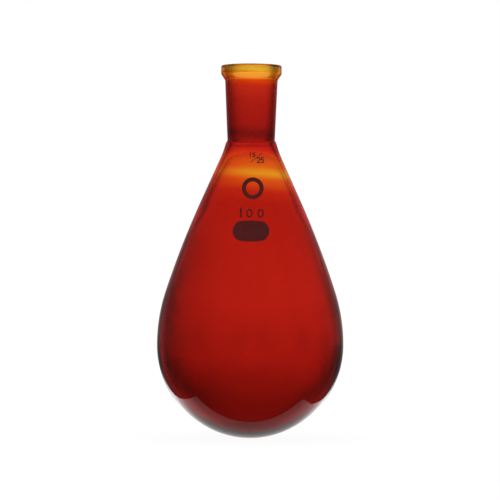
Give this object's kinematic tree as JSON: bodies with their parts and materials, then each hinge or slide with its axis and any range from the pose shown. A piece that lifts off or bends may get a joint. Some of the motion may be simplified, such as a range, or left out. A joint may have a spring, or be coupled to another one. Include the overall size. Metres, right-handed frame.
{
  "type": "pear-shaped evaporating flask",
  "caption": "Pear-shaped evaporating flask in red-brown light-protecting glass, with a round bottom, a conical body and a ground taper socket under a rim bead.",
  "frame": {"origin": "centre of the socket's mouth plane, at the top of the neck", "axes": "+Z is the flask's axis and points out of the mouth; the body hangs below, along -Z. The part is round, so +X and +Y carry no shape; the print in the visual model faces -Y"},
  "size_m": [0.062, 0.062, 0.124],
  "materials": {
    "stained_glass": "clear, fire-polished borosilicate glass with a red-brown stain that turns yellow at the rim and at one band under the neck; the socket is ground matt inside",
    "print": "fired dark brown enamel, satin"
  },
  "bodies": {
    "root": {"flask": "stained_glass"}
  },
  "joints": []
}
